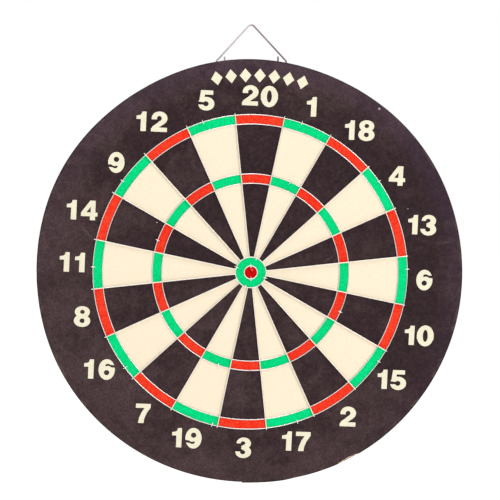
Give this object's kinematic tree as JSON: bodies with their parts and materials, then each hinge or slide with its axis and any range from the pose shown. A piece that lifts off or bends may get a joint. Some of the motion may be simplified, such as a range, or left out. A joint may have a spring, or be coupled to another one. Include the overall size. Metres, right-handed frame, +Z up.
{
  "type": "dartboard",
  "caption": "Round wound-paper dartboard with a printed face, a raised wire scoring frame held by staples and a swinging wire bail for hanging on a wall.",
  "frame": {"origin": "centre of the back face", "axes": "+Z up as hung, -Y out of the printed face towards the thrower, +Y out of the back into the wall, +X to the thrower's right"},
  "size_m": [0.4584, 0.0222, 0.4967],
  "materials": {
    "wound_paper": "raw kraft strip edges",
    "kraft_sheet": "plain kraft paper, matt",
    "face_paper": "black printed paper, matt, scuffed",
    "edge_tape": "black paper tape, matt",
    "cream_ink": "cream print, matt",
    "red_ink": "red print, matt",
    "green_ink": "green print, matt",
    "bull_red_ink": "darker red print, matt",
    "number_ink": "pale cream print, matt",
    "frame_wire": "bright plated wire",
    "staple_wire": "bright plated wire",
    "hanger_wire": "plated wire, slightly dull"
  },
  "bodies": {
    "board": {"wound_core": "wound_paper", "backing_sheet": "kraft_sheet", "face_sheet": "face_paper", "edge_band": "edge_tape", "cream_beds": "cream_ink", "red_beds": "red_ink", "green_beds": "green_ink", "outer_bull_print": "green_ink", "bull_print": "bull_red_ink", "numerals": "number_ink", "lozenge_row": "number_ink", "double_ring_staples": "staple_wire", "treble_ring_staples": "staple_wire", "outer_bull_staples": "staple_wire", "bull_staples": "staple_wire", "hanger_staple_left": "staple_wire", "hanger_staple_right": "staple_wire", "double_outer_wire": "frame_wire", "double_inner_wire": "frame_wire", "treble_outer_wire": "frame_wire", "treble_inner_wire": "frame_wire", "outer_bull_wire": "frame_wire", "bull_wire": "frame_wire", "radial_wire_01": "frame_wire", "radial_wire_02": "frame_wire", "radial_wire_03": "frame_wire", "radial_wire_04": "frame_wire", "radial_wire_05": "frame_wire", "radial_wire_06": "frame_wire", "radial_wire_07": "frame_wire", "radial_wire_08": "frame_wire", "radial_wire_09": "frame_wire", "radial_wire_10": "frame_wire", "radial_wire_11": "frame_wire", "radial_wire_12": "frame_wire", "radial_wire_13": "frame_wire", "radial_wire_14": "frame_wire", "radial_wire_15": "frame_wire", "radial_wire_16": "frame_wire", "radial_wire_17": "frame_wire", "radial_wire_18": "frame_wire", "radial_wire_19": "frame_wire", "radial_wire_20": "frame_wire"},
    "bail": {"hanger_bail": "hanger_wire"}
  },
  "joints": [
    {"name": "bail_swing", "type": "hinge", "parent": "board", "child": "bail", "pos_m": [0.002, 0.0012, 0.2195], "axis": [-1, 0, 0], "range_deg": [0, 180]}
  ]
}
